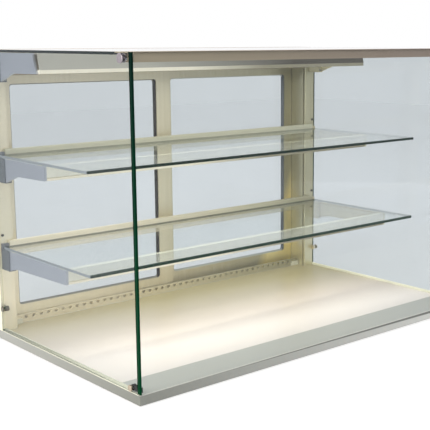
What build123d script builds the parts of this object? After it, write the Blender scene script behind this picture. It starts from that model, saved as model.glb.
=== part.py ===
from build123d import *
import os

# Countertop glass display case, piece by piece.
# X runs across the case, -Y faces the customer and +Z is up. The origin is the middle of the
# footprint at counter level. Sizes are in millimetres.

os.makedirs("parts", exist_ok=True)

# ---------------------------------------------------------------- driving dimensions
# Case
case_width = 1080.0
case_depth = 690.0
pane_height = 689.0
glass_thickness = 6.0
pane_gap = 2.0                 # between the front glass and the side glass
pane_lift = 2.0                # under the front glass
glass_corner_radius = 4.0

# Base
foot_height = 2.0
foot_radius = 18.0
foot_inset = 60.0
base_height = 21.0
base_corner_radius = 2.0
base_sheet = 2.0
front_flange_depth = 92.0
rim_width = 9.0
deck_rear_depth = 60.0         # from the deck's rear edge to the back of the case
pan_thickness = 1.5
deck_thickness = 2.0
deck_lip_height = 7.0
panel_clearance = 0.5
boss_radius = 5.0
pan_screw_radius = 2.0
pan_screw_head_radius = 3.4
pan_screw_inset = 28.0
bead_height = 7.0
bead_thickness = 3.0
seal_thickness = 1.2

# Rear posts
post_width = 41.0
post_depth = 92.0
post_wall = 3.0
post_corner_radius = 2.5
rebate_depth = 2.0             # the side glass stands this far into the post
rebate_clearance = 0.3
rail_slot_width = 5.0
rail_slot_depth = 6.0
rail_slot_setback = 5.0
jamb_depth = 2.0
jamb_setback = 24.0
cap_thickness = 3.0

# Rear beam and lower track
beam_height = 62.0
beam_wall = 3.0
beam_rebate = 10.0
groove_depth = 23.0
groove_clearance = 1.0
track_base = 2.5
track_wall = 2.5
track_front_height = 22.0
track_rear_height = 12.0
track_side_gap = 6.5           # between a door's face and the nearer track wall
rib_width = 3.0
rib_height = 8.5
vent_pitch = 21.3
vent_length = 10.0
vent_height = 8.0
vent_top_margin = 3.5
vent_end_margin = 40.0
door_stop_length = 28.0
door_stop_height = 12.0
door_stop_thickness = 5.0
door_stop_edge_radius = 1.0

# Sliding doors
door_thickness = 16.0
door_gap = 6.0                 # between the faces of the two doors
door_overlap = 26.0
door_side_clearance = 1.0
door_bottom_lift = 5.0
door_top_play = 9.0
narrow_stile = 30.0
wide_stile = 45.0
bottom_rail_height = 40.0
top_rail_height = 36.0
opening_radius = 8.0
door_edge_radius = 1.0
door_glass_thickness = 5.0
door_glass_bite = 10.0
door_glass_clearance = 0.2
gasket_width = 2.5
gasket_thickness = 3.0
meeting_seal_width = 8.5
pull_length = 110.0
pull_width = 14.0
pull_depth = 8.5
pull_wall = 1.5
pull_setback = 10.0            # from the door's outer edge to the pull's middle
glide_length = 40.0
glide_width = 8.4
glide_height = 8.0
glide_clearance = 0.25         # each side, in the channel under the door
glide_inset = 60.0
glide_running_gap = 0.3
top_guide_height = 4.0
top_guide_clearance = 0.4

# Shelves and lamps
lower_shelf_height = 209.0     # underside of the glass above the base
upper_shelf_height = 434.0
shelf_front_setback = 188.0
shelf_side_gap = 3.0
lower_arm_setback = 292.0      # from the front glass to the front end of the arm
upper_arm_setback = 370.0
top_arm_setback = 387.0
top_arm_nose_slant = 16.0
arm_thickness = 6.0
arm_side_gap = 2.5
shelf_arm_height = 34.0
top_arm_height = 45.5
shelf_arm_taper = 0.025        # the arm deepens by this share of its length
top_arm_taper = 0.01
gusset_depth = 20.0            # the arm's lower edge drops this much more at its root
gusset_length = 58.0
small_gusset_depth = 9.0
small_gusset_length = 35.0
gusset_bend_radius = 60.0
arm_corner_radius = 1.5
pad_thickness = 1.0
pad_length = 20.0
holder_length = 40.0
holder_width = 17.0
holder_hook_depth = 9.0
holder_hook_height = 6.0
holder_drop = 2.0
holder_slot_depth = 22.0
holder_slot_clearance = 0.1
holder_screw_radius = 2.5
holder_screw_head_radius = 3.0
shelf_bar_depth = 16.0
lamp_bar_depth = 22.0
lamp_overhang = 6.0            # in front of the arms that carry it
lamp_slant = 8.0
bar_wall = 2.0
lamp_lens_height = 9.0
shelf_lens_height = 5.5
shelf_lens_reveal = 1.5        # shadow gap over a shelf lamp's lens
lens_edge_radius = 1.5
lens_clearance = 0.3
board_thickness = 1.6
board_width = 9.0
board_side_gap = 1.0
board_end_gap = 10.0
rail_thickness = 12.0
rail_drop = 19.0
rail_rise = 13.0
rail_edge_radius = 4.0
rail_bite = 4.0
rail_rear_gap = 2.0            # to the face of the posts
rail_glass_clearance = 0.3

# Front glass pivot and stops
pivot_setback = 36.0           # behind the face of the front glass
pivot_drop = 12.0              # under the top edge of the glass
front_rail_height = 20.0
front_rail_wall = 3.0
front_rail_top = 2.5
front_rail_depth = 66.0
front_rail_boss_radius = 8.0
front_rail_end_gap = 10.5
top_glass_gap = 4.0            # between the front rail and the top glass
disc_radius = 10.0
disc_thickness = 3.0
disc_edge_radius = 0.8
barrel_radius = 5.0
barrel_clearance = 0.5
nut_radius = 9.0
nut_thickness = 3.0
nut_sides = 12
nut_clearance = 0.1
pin_radius = 4.0
pin_clearance = 0.1
pin_length = 20.0
bush_radius = 5.95
bush_clearance = 0.05
bush_length = 22.0
stop_setback = 33.0
stop_height = 9.0
stop_disc_radius = 7.0
stop_shaft_radius = 2.9
stop_hole_clearance = 0.3
buffer_thickness = 6.0
buffer_gap = 0.3
buffer_nose_share = 0.8        # of the buffer's height
clamp_setback = 7.5            # from the post's front face to the clamp's middle
clamp_height = 58.0
clamp_radius = 6.5
clamp_tongue_height = 8.0
clamp_boss_length = 8.0
clamp_shaft_radius = 4.0
post_screw_radius = 3.5
post_screw_head = 2.2
post_screw_inset = 12.0
post_screw_rise = 26.0         # above each shelf's glass

# Electrics
driver_length = 180.0
driver_depth = 28.0
driver_height = 20.0
driver_inset = 120.0
switch_inset = 70.0
bezel_width = 23.0
bezel_height = 21.0
bezel_thickness = 2.0
switch_wall = 1.5
switch_body_depth = 14.0
rocker_radius = 6.5
rocker_width = 16.0
rocker_clearance = 0.4
rocker_tilt = 7.0
rocker_crown = 4.9
gland_height = 60.0
gland_bore_radius = 4.0
gland_thread_radius = 8.0
gland_nut_radius = 12.0
gland_nut_length = 6.0
gland_nut_sides = 6
gland_dome_radius = 9.5
gland_dome_length = 12.0

# ---------------------------------------------------------------- derived places
half_width = case_width / 2
front_y = -case_depth / 2
rear_y = case_depth / 2
base_top = foot_height + base_height
case_top = base_top + pane_height
inner_x = half_width - glass_thickness
post_front_y = rear_y - post_depth
post_inner_x = half_width - post_width
beam_bottom = case_top - beam_height
glass_rear_y = front_y + glass_thickness
pivot_y = front_y + pivot_setback
pivot_z = case_top - pivot_drop
rear_door_y = rear_y - track_wall - track_base - track_side_gap - door_thickness / 2
front_door_y = rear_door_y - door_thickness - door_gap
track_front_y = front_door_y - door_thickness / 2 - track_side_gap - track_wall
deck_rear_y = rear_y - deck_rear_depth
deck_mouth_x = half_width - rim_width
sides = {"left": -1, "right": 1}


def block(x_span, y_span, z_span, mode=Mode.ADD):
    """Add a box given by its limits along X, Y and Z."""
    spans = (x_span, y_span, z_span)
    middle = [sum(span) / 2 for span in spans]
    size = [abs(span[1] - span[0]) for span in spans]
    with Locations(tuple(middle)):
        Box(*size, mode=mode)


def area(a_span, b_span, mode=Mode.ADD):
    """Add a rectangle given by its limits to the sketch being drawn."""
    with Locations((sum(a_span) / 2, sum(b_span) / 2)):
        Rectangle(abs(a_span[1] - a_span[0]), abs(b_span[1] - b_span[0]), mode=mode)


def export(piece, name):
    """Label a finished piece and write it to its own file."""
    piece.part.label = name
    export_step(piece.part, f"parts/{name}.step")


# ---------------------------------------------------------------- base
def deck_outline(inset=0.0, mode=Mode.ADD):
    """The deck's plan: full width in front of the posts, narrower between them."""
    front = front_y + front_flange_depth + inset
    shoulder = post_front_y - panel_clearance - inset
    wide = deck_mouth_x - inset
    narrow = post_inner_x - panel_clearance - inset
    area((-wide, wide), (front, shoulder), mode=mode)
    area((-narrow, narrow), (front, deck_rear_y - inset), mode=mode)


pan_half_width = half_width - base_sheet - panel_clearance
pan_half_depth = case_depth / 2 - base_sheet - panel_clearance
pan_screw_xs = (half_width - pan_screw_inset - post_width, case_width / 6)
pan_screw_places = [
    (side * x, y)
    for side in (-1, 1)
    for x in pan_screw_xs
    for y in (front_y + front_flange_depth / 2, rear_y - pan_screw_inset)
]

with BuildPart() as base_frame:
    with BuildSketch(Plane.XY.offset(base_top)):
        RectangleRounded(case_width, case_depth, base_corner_radius)
        deck_outline(mode=Mode.SUBTRACT)
    extrude(amount=-base_sheet)
    with BuildSketch(Plane.XY.offset(foot_height)):
        RectangleRounded(case_width, case_depth, base_corner_radius)
        Rectangle(case_width - 2 * base_sheet, case_depth - 2 * base_sheet, mode=Mode.SUBTRACT)
    extrude(amount=base_height)
    with BuildSketch(Plane.XY.offset(base_top)):
        deck_outline(inset=-base_sheet)
        deck_outline(mode=Mode.SUBTRACT)
    extrude(amount=-(base_height - pan_thickness))
    with BuildSketch(Plane.XY.offset(foot_height + pan_thickness)):
        with Locations(*pan_screw_places):
            Circle(boss_radius)
    extrude(amount=base_height - pan_thickness - base_sheet)
    with BuildSketch(Plane.XY.offset(foot_height + pan_thickness)):
        with Locations(*pan_screw_places):
            Circle(pan_screw_radius)
    extrude(amount=base_height - pan_thickness - 2 * base_sheet, mode=Mode.SUBTRACT)
export(base_frame, "base_frame")

with BuildPart() as base_pan:
    with BuildSketch(Plane.XY.offset(foot_height)):
        Rectangle(2 * pan_half_width, 2 * pan_half_depth)
    extrude(amount=pan_thickness)
    with Locations(*[Location((x, y, foot_height), (180, 0, 0)) for x, y in pan_screw_places]):
        CounterSinkHole(radius=pan_screw_radius, counter_sink_radius=pan_screw_head_radius)
export(base_pan, "base_pan")

with BuildPart() as pan_screws:
    for x, y in pan_screw_places:
        with BuildSketch(Plane(origin=(x, y, 0), x_dir=(1, 0, 0), z_dir=(0, -1, 0))):
            with BuildLine():
                head_z = foot_height + pan_screw_head_radius - pan_screw_radius
                Polyline(
                    (0, foot_height),
                    (pan_screw_head_radius - panel_clearance / 2, foot_height),
                    (pan_screw_radius - panel_clearance / 2, head_z),
                    (pan_screw_radius - panel_clearance / 2, base_top - 2 * base_sheet),
                    (0, base_top - 2 * base_sheet),
                    close=True,
                )
            make_face()
        revolve(axis=Axis((x, y, 0), (0, 0, 1)))
export(pan_screws, "pan_screws")

foot_xs = (-half_width + foot_inset, 0, half_width - foot_inset)
with BuildPart() as feet:
    with BuildSketch(Plane.XY):
        for y in (front_y + foot_inset, 0, rear_y - foot_inset):
            with Locations(*[(x, y) for x in foot_xs]):
                Circle(foot_radius)
    extrude(amount=foot_height)
    fillet(feet.faces().sort_by(Axis.Z)[:1].edges(), foot_height / 4)
export(feet, "feet")

with BuildPart() as deck_core:
    with BuildSketch(Plane.XY.offset(foot_height + pan_thickness)):
        deck_outline(inset=2 * panel_clearance + deck_thickness)
    extrude(amount=base_height - pan_thickness - deck_thickness)
export(deck_core, "deck_core")

with BuildPart() as deck_plate:
    with BuildSketch(Plane.XY.offset(base_top)):
        deck_outline(inset=panel_clearance)
    extrude(amount=-deck_thickness)
    with BuildSketch(Plane.XY.offset(base_top)):
        deck_outline(inset=panel_clearance)
        deck_outline(inset=panel_clearance + deck_thickness, mode=Mode.SUBTRACT)
    extrude(amount=-deck_lip_height)
export(deck_plate, "deck_plate")

side_glass_front_y = glass_rear_y + pane_gap
side_glass_rear_y = post_front_y + rebate_depth - rebate_clearance
stop_y = front_y + stop_setback
stop_z = base_top + stop_height
clamp_y = post_front_y - clamp_setback
clamp_z = base_top + clamp_height
bead_front_y = front_y + stop_setback + stop_disc_radius + panel_clearance
bead_rear_y = post_front_y - panel_clearance

with BuildPart() as glazing_beads:
    for side in sides.values():
        with BuildSketch(Plane.XZ.offset(-bead_front_y)):
            area((side * (inner_x - bead_thickness), side * inner_x), (base_top, base_top + bead_height))
        extrude(amount=-(bead_rear_y - bead_front_y))
    inner_top = glazing_beads.edges().filter_by(Axis.Y).group_by(Axis.Z)[-1]
    fillet([edge for edge in inner_top if abs(edge.center().X) < inner_x - bead_thickness / 2],
           bead_thickness / 2)
export(glazing_beads, "glazing_beads")

with BuildPart() as glass_seals:
    for side in sides.values():
        block(
            (side * inner_x, side * half_width),
            (side_glass_front_y, side_glass_rear_y),
            (base_top, base_top + seal_thickness),
        )
export(glass_seals, "glass_seals")

# ---------------------------------------------------------------- side and top glass
for name, side in sides.items():
    with BuildPart() as side_glass:
        with BuildSketch(Plane.YZ.offset(side * inner_x)) as pane:
            area((side_glass_front_y, side_glass_rear_y), (base_top + seal_thickness, case_top))
            fillet(pane.vertices(), glass_corner_radius)
            with Locations((pivot_y, pivot_z)):
                Circle(barrel_radius + barrel_clearance, mode=Mode.SUBTRACT)
            with Locations((stop_y, stop_z)):
                Circle(stop_shaft_radius + stop_hole_clearance, mode=Mode.SUBTRACT)
            with Locations((clamp_y, clamp_z)):
                Circle(clamp_shaft_radius + barrel_clearance, mode=Mode.SUBTRACT)
        extrude(amount=side * glass_thickness)
    export(side_glass, f"{name}_side_glass")

top_glass_front_y = glass_rear_y + front_rail_depth + top_glass_gap
top_glass_rear_y = post_front_y + beam_rebate - panel_clearance
top_glass_half = inner_x - 2 * panel_clearance
top_glass_bottom = case_top - glass_thickness
with BuildPart() as top_glass:
    with BuildSketch(Plane.XY.offset(case_top)) as pane:
        area((-top_glass_half, top_glass_half), (top_glass_front_y, post_front_y - panel_clearance))
        narrow = post_inner_x - panel_clearance
        area((-narrow, narrow), (top_glass_front_y, top_glass_rear_y))
    extrude(amount=-glass_thickness)
export(top_glass, "top_glass")

# ---------------------------------------------------------------- rear posts
for name, side in sides.items():
    with BuildPart() as post:
        with BuildSketch(Plane.XY.offset(base_top)) as section:
            area((side * half_width, side * post_inner_x), (post_front_y, rear_y))
            fillet(section.vertices(), post_corner_radius)
            area(
                (side * half_width, side * (inner_x - rebate_clearance)),
                (post_front_y, post_front_y + rebate_depth),
                mode=Mode.SUBTRACT,
            )
            slot_y = post_front_y + rail_slot_setback
            area(
                (side * post_inner_x, side * (post_inner_x + rail_slot_depth)),
                (slot_y, slot_y + rail_slot_width),
                mode=Mode.SUBTRACT,
            )
            area(
                (side * post_inner_x, side * (post_inner_x + jamb_depth)),
                (post_front_y + jamb_setback, rear_y),
                mode=Mode.SUBTRACT,
            )
            chamber_x = (
                side * (half_width - post_wall),
                side * (post_inner_x + jamb_depth + post_wall),
            )
            chamber_front_y = slot_y + rail_slot_width + post_wall
            web_y = (chamber_front_y + rear_y - post_wall) / 2
            area(chamber_x, (chamber_front_y, web_y - post_wall / 2), mode=Mode.SUBTRACT)
            area(chamber_x, (web_y + post_wall / 2, rear_y - post_wall), mode=Mode.SUBTRACT)
        extrude(amount=pane_height - cap_thickness)
        if name == "right":
            gland_place = Location(
                (half_width - post_width / 2, rear_y, base_top + gland_height), (-90, 0, 0)
            )
            with Locations(gland_place):
                Hole(gland_thread_radius, depth=post_wall)
    export(post, f"{name}_post")

with BuildPart() as post_caps:
    for side in sides.values():
        with BuildSketch(Plane.XY.offset(case_top)) as section:
            area((side * half_width, side * post_inner_x), (post_front_y, rear_y))
            fillet(section.vertices(), post_corner_radius)
            area(
                (side * half_width, side * (inner_x - rebate_clearance)),
                (post_front_y, post_front_y + rebate_depth),
                mode=Mode.SUBTRACT,
            )
        extrude(amount=-cap_thickness)
export(post_caps, "post_caps")

# ---------------------------------------------------------------- rear beam and lower track
groove_width = door_thickness + 2 * groove_clearance
groove_top = beam_bottom + groove_depth
switch_z = (groove_top + beam_wall + case_top - beam_wall) / 2
switch_x = half_width - post_width - switch_inset

with BuildPart() as top_beam:
    with BuildSketch(Plane.YZ.offset(-post_inner_x)) as section:
        area((post_front_y, rear_y), (beam_bottom, case_top))
        fillet(section.vertices(), post_corner_radius)
        area(
            (post_front_y, post_front_y + beam_rebate),
            (top_glass_bottom - pad_thickness, case_top),
            mode=Mode.SUBTRACT,
        )
        for door_y in (front_door_y, rear_door_y):
            area(
                (door_y - groove_width / 2, door_y + groove_width / 2),
                (beam_bottom, groove_top),
                mode=Mode.SUBTRACT,
            )
        chamber_front = post_front_y + beam_wall
        chamber_top = top_glass_bottom - pad_thickness - beam_wall
        area(
            (chamber_front, rear_y - beam_wall),
            (groove_top + beam_wall, chamber_top),
            mode=Mode.SUBTRACT,
        )
        area(
            (chamber_front, front_door_y - groove_width / 2 - beam_wall),
            (beam_bottom + beam_wall, chamber_top),
            mode=Mode.SUBTRACT,
        )
    extrude(amount=2 * post_inner_x)
    block(
        (switch_x - bezel_width / 2 + switch_wall, switch_x + bezel_width / 2 - switch_wall),
        (rear_y - beam_wall, rear_y),
        (switch_z - bezel_height / 2 + switch_wall, switch_z + bezel_height / 2 - switch_wall),
        mode=Mode.SUBTRACT,
    )
export(top_beam, "top_beam")

with BuildPart() as lower_track:
    with BuildSketch(Plane.YZ.offset(-post_inner_x)) as section:
        track_rear_y = rear_door_y + door_thickness / 2 + track_side_gap + track_wall
        area((track_front_y, track_rear_y), (base_top, base_top + track_base))
        area((track_front_y, track_front_y + track_wall), (base_top, base_top + track_front_height))
        area((track_rear_y - track_wall, track_rear_y), (base_top, base_top + track_rear_height))
        for door_y in (front_door_y, rear_door_y):
            area(
                (door_y - rib_width / 2, door_y + rib_width / 2),
                (base_top, base_top + track_base + rib_height),
            )
        tops = [v for v in section.vertices() if v.Y > base_top + track_base + groove_clearance]
        fillet(tops, track_wall / 3)
    extrude(amount=2 * post_inner_x)
    vent_count = int((2 * post_inner_x - 2 * vent_end_margin) / vent_pitch) + 1
    vent_z = base_top + track_front_height - vent_top_margin - vent_height / 2
    with BuildSketch(Plane.XZ.offset(-track_front_y)):
        with Locations((0, vent_z)):
            with GridLocations(vent_pitch, 1, vent_count, 1):
                SlotOverall(vent_length, vent_height)
    extrude(amount=-track_wall, mode=Mode.SUBTRACT)
export(lower_track, "lower_track")

with BuildPart() as door_stops:
    for side in sides.values():
        block(
            (side * post_inner_x, side * (post_inner_x - door_stop_length)),
            (track_front_y - door_stop_thickness, track_front_y),
            (base_top, base_top + door_stop_height),
        )
    fillet(door_stops.edges().filter_by(Axis.X).group_by(Axis.Z)[-1], door_stop_edge_radius)
export(door_stops, "door_stops")

# ---------------------------------------------------------------- sliding doors
door_width = (2 * post_inner_x + 2 * jamb_depth - 2 * door_side_clearance + door_overlap) / 2
door_bottom = base_top + door_bottom_lift
door_top = groove_top - door_top_play
door_outer_x = post_inner_x + jamb_depth - door_side_clearance
opening_bottom = door_bottom + bottom_rail_height
opening_top = door_top - top_rail_height


def door_pieces(name, side, door_y, stile_left, stile_right, seal_right):
    """Frame, glass, gasket, finger pull and glides of one door; side is its closed half."""
    left_x = -door_outer_x if side < 0 else door_outer_x - door_width
    right_x = left_x + door_width
    opening_x = (left_x + stile_left, right_x - stile_right)
    glass_x = (opening_x[0] - door_glass_bite, opening_x[1] + door_glass_bite)
    glass_z = (opening_bottom - door_glass_bite, opening_top + door_glass_bite)
    pull_x = left_x + pull_setback if side < 0 else right_x - pull_setback
    pull_z = (door_bottom + door_top) / 2
    rear_face = door_y + door_thickness / 2
    glass_room = door_glass_thickness / 2 + door_glass_clearance

    with BuildPart() as frame:
        with BuildSketch(Plane.XZ.offset(-door_y)) as outline:
            area((left_x, right_x), (door_bottom, door_top))
            fillet(outline.vertices(), door_edge_radius)
            with Locations((sum(opening_x) / 2, (opening_bottom + opening_top) / 2)):
                RectangleRounded(
                    opening_x[1] - opening_x[0],
                    opening_top - opening_bottom,
                    opening_radius,
                    mode=Mode.SUBTRACT,
                )
        extrude(amount=door_thickness / 2, both=True)
        block(
            (glass_x[0] - door_glass_clearance, glass_x[1] + door_glass_clearance),
            (door_y - glass_room, door_y + glass_room),
            (glass_z[0] - door_glass_clearance, glass_z[1] + door_glass_clearance),
            mode=Mode.SUBTRACT,
        )
        channel_half = glide_width / 2 + glide_clearance
        block(
            (left_x, right_x),
            (door_y - channel_half, door_y + channel_half),
            (door_bottom, door_bottom + glide_height + glide_running_gap),
            mode=Mode.SUBTRACT,
        )
        with BuildSketch(Plane.XZ.offset(-rear_face)):
            with Locations((pull_x, pull_z)):
                RectangleRounded(
                    pull_width + 2 * door_glass_clearance,
                    pull_length + 2 * door_glass_clearance,
                    pull_width / 2,
                )
        extrude(amount=pull_depth, mode=Mode.SUBTRACT)
    export(frame, f"{name}_frame")

    with BuildPart() as glass:
        block(glass_x, (door_y - door_glass_thickness / 2, door_y + door_glass_thickness / 2), glass_z)
    export(glass, f"{name}_glass")

    with BuildPart() as gasket:
        for face, extra in ((-1, seal_right - gasket_width), (1, 0)):
            with BuildSketch(Plane.XZ.offset(-(door_y + face * door_glass_thickness / 2))):
                middle_z = (opening_bottom + opening_top) / 2
                with Locations((sum(opening_x) / 2, middle_z)):
                    RectangleRounded(
                        opening_x[1] - opening_x[0], opening_top - opening_bottom, opening_radius
                    )
                with Locations((sum(opening_x) / 2 - extra / 2, middle_z)):
                    RectangleRounded(
                        opening_x[1] - opening_x[0] - 2 * gasket_width - extra,
                        opening_top - opening_bottom - 2 * gasket_width,
                        opening_radius - gasket_width / 2,
                        mode=Mode.SUBTRACT,
                    )
            extrude(amount=-face * gasket_thickness)
    export(gasket, f"{name}_gasket")

    with BuildPart() as pull:
        with BuildSketch(Plane.XZ.offset(-rear_face)):
            with Locations((pull_x, pull_z)):
                RectangleRounded(pull_width, pull_length, pull_width / 2 - door_glass_clearance)
        extrude(amount=pull_depth)
        with BuildSketch(Plane.XZ.offset(-rear_face)):
            with Locations((pull_x, pull_z)):
                RectangleRounded(
                    pull_width - 2 * pull_wall,
                    pull_length - 2 * pull_wall,
                    pull_width / 2 - door_glass_clearance - pull_wall,
                )
        extrude(amount=pull_depth - pull_wall, mode=Mode.SUBTRACT)
    export(pull, f"{name}_pull")

    with BuildPart() as glides:
        for x in (left_x + glide_inset, right_x - glide_inset):
            span = (x - glide_length / 2, x + glide_length / 2)
            block(
                span,
                (door_y - glide_width / 2, door_y + glide_width / 2),
                (door_bottom + glide_running_gap, door_bottom + glide_height + glide_running_gap),
            )
            rib_half = rib_width / 2 + glide_running_gap
            block(
                span,
                (door_y - rib_half, door_y + rib_half),
                (door_bottom, base_top + track_base + rib_height + glide_running_gap),
                mode=Mode.SUBTRACT,
            )
            guide_half = groove_width / 2 - top_guide_clearance
            block(
                span,
                (door_y - guide_half, door_y + guide_half),
                (door_top, door_top + top_guide_height),
            )
    export(glides, f"{name}_glides")


door_pieces("left_door", -1, front_door_y, narrow_stile, wide_stile, meeting_seal_width)
door_pieces("right_door", 1, rear_door_y, wide_stile, narrow_stile, meeting_seal_width)

# ---------------------------------------------------------------- arms, holders and lamps
arm_outer_x = inner_x - arm_side_gap
arm_inner_x = arm_outer_x - arm_thickness
holder_outer_x = inner_x - pad_thickness
holder_inner_x = holder_outer_x - holder_width
holder_front_y = post_front_y - holder_length
arm_rear_y = holder_front_y + holder_slot_depth

# Depths are under the arm's top, setbacks behind the face of the front glass.
arm_levels = {
    "lower": dict(
        top=base_top + lower_shelf_height - pad_thickness,
        setback=lower_arm_setback,
        nose_slant=0,
        height=shelf_arm_height,
        taper=shelf_arm_taper,
        gusset_depth=small_gusset_depth,
        gusset_length=small_gusset_length,
    ),
    "upper": dict(
        top=base_top + upper_shelf_height - pad_thickness,
        setback=upper_arm_setback,
        nose_slant=0,
        height=shelf_arm_height,
        taper=shelf_arm_taper,
        gusset_depth=gusset_depth,
        gusset_length=gusset_length,
    ),
    "top": dict(
        top=top_glass_bottom - pad_thickness,
        setback=top_arm_setback,
        nose_slant=top_arm_nose_slant,
        height=top_arm_height,
        taper=top_arm_taper,
        gusset_depth=gusset_depth,
        gusset_length=gusset_length,
    ),
}


def arm_knee_depth(arm):
    """Depth of an arm where its gusset starts."""
    knee_setback = holder_front_y - arm["gusset_length"] - front_y
    return arm["height"] + arm["taper"] * (knee_setback - arm["setback"])


def arm_root_z(arm):
    """Height of an arm's lower edge, gusset included, where it enters its holder."""
    return arm["top"] - arm_knee_depth(arm) - arm["gusset_depth"]


def blade_arm(arm, side):
    """A plate arm whose lower edge drops in a gusset towards the post."""
    top = arm["top"]
    nose_y = front_y + arm["setback"]
    knee = (holder_front_y - arm["gusset_length"], top - arm_knee_depth(arm))
    root_z = arm_root_z(arm)
    with BuildPart() as plate:
        with BuildSketch(Plane.YZ.offset(side * arm_inner_x)) as blade:
            with BuildLine():
                Polyline(
                    (nose_y + arm["nose_slant"], top),
                    (arm_rear_y, top),
                    (arm_rear_y, root_z),
                    (holder_front_y, root_z),
                    knee,
                    (nose_y, top - arm["height"]),
                    close=True,
                )
            make_face()
            fillet(blade.vertices().sort_by_distance((*knee, 0))[0], gusset_bend_radius)
            fillet(blade.vertices().sort_by(Axis.X)[:2], arm_corner_radius)
        extrude(amount=side * arm_thickness)
    return plate


for level, arm in arm_levels.items():
    for name, side in sides.items():
        export(blade_arm(arm, side), f"{level}_arm_{name}")


def holder_screw_heights(arm):
    """Heights of the two screws that fix an arm's holder to the post."""
    return (
        arm["top"] - arm["height"] / 2,
        arm_root_z(arm) - holder_drop + 2 * holder_screw_head_radius,
    )


holder_screw_x = (holder_inner_x + arm_inner_x) / 2
with BuildPart() as arm_holders:
    for level, arm in arm_levels.items():
        top = arm["top"]
        hook_top = top + pad_thickness + glass_thickness + holder_hook_height
        for side in sides.values():
            block(
                (side * holder_inner_x, side * holder_outer_x),
                (holder_front_y, post_front_y),
                (arm_root_z(arm) - holder_drop, top),
            )
            if level != "top":
                block(
                    (side * holder_inner_x, side * holder_outer_x),
                    (post_front_y - holder_hook_depth, post_front_y),
                    (top, hook_top),
                )
            block(
                (
                    side * (arm_inner_x - holder_slot_clearance),
                    side * (arm_outer_x + holder_slot_clearance),
                ),
                (holder_front_y, arm_rear_y),
                (arm_root_z(arm), top),
                mode=Mode.SUBTRACT,
            )
            for z in holder_screw_heights(arm):
                with Locations(Location((side * holder_screw_x, holder_front_y, z), (90, 0, 0))):
                    Hole(holder_screw_radius + holder_slot_clearance)
export(arm_holders, "arm_holders")

with BuildPart() as holder_screws:
    for arm in arm_levels.values():
        for side in sides.values():
            for z in holder_screw_heights(arm):
                with BuildSketch(Plane.XZ.offset(-holder_front_y)):
                    with Locations((side * holder_screw_x, z)):
                        Circle(holder_screw_head_radius)
                extrude(amount=holder_screw_radius)
                with BuildSketch(Plane.XZ.offset(-holder_front_y)):
                    with Locations((side * holder_screw_x, z)):
                        Circle(holder_screw_radius)
                extrude(amount=-holder_length)
    for shelf_height in (lower_shelf_height, upper_shelf_height):
        screw_z = base_top + shelf_height + glass_thickness + post_screw_rise
        for side in sides.values():
            with BuildSketch(Plane.XZ.offset(-post_front_y)):
                with Locations((side * (half_width - post_screw_inset), screw_z)):
                    Circle(post_screw_radius)
            extrude(amount=post_screw_head)
export(holder_screws, "holder_screws")


def light_bar(arm, name, bar):
    """Open-bottomed housing between two arms and the lens that closes it."""
    top = arm["top"]
    bottom = top - arm["height"]
    foot_y = front_y + arm["setback"] - bar["overhang"]
    crown_y = foot_y + bar["slant"]
    bar_rear_y = crown_y + bar["depth"]
    lens_top = bottom + bar["lens_height"]
    with BuildPart() as housing:
        with BuildSketch(Plane.YZ.offset(-arm_inner_x)):
            with BuildLine():
                Polyline(
                    (crown_y, top),
                    (bar_rear_y, top),
                    (bar_rear_y, bottom),
                    (foot_y, bottom),
                    (foot_y, lens_top),
                    close=True,
                )
            make_face()
            offset(amount=-bar_wall, mode=Mode.SUBTRACT)
            area((foot_y, bar_rear_y - bar_wall), (bottom, lens_top + bar["reveal"]), mode=Mode.SUBTRACT)
        extrude(amount=2 * arm_inner_x)
    export(housing, name)
    with BuildPart() as lens_bar:
        with BuildSketch(Plane.YZ.offset(-arm_inner_x)) as lens:
            area((foot_y, bar_rear_y - bar_wall - lens_clearance), (bottom, lens_top))
            fillet(lens.vertices().group_by(Axis.Y)[0], lens_edge_radius)
        extrude(amount=2 * arm_inner_x)
    export(lens_bar, f"{name}_diffuser")
    return (crown_y + bar_wall + board_side_gap, top - bar_wall)


top_lamp = dict(
    overhang=lamp_overhang,
    slant=lamp_slant,
    depth=lamp_bar_depth,
    lens_height=lamp_lens_height,
    reveal=0,
)
shelf_lamp = dict(
    overhang=0,
    slant=0,
    depth=shelf_bar_depth,
    lens_height=shelf_lens_height,
    reveal=shelf_lens_reveal,
)
board_places = [
    light_bar(arm_levels["top"], "lamp_bar", top_lamp),
    light_bar(arm_levels["upper"], "upper_light_bar", shelf_lamp),
    light_bar(arm_levels["lower"], "lower_light_bar", shelf_lamp),
]
with BuildPart() as led_boards:
    board_half = arm_inner_x - board_end_gap
    for board_y, board_z in board_places:
        block(
            (-board_half, board_half),
            (board_y, board_y + board_width),
            (board_z - board_thickness, board_z),
        )
export(led_boards, "led_boards")

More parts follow.
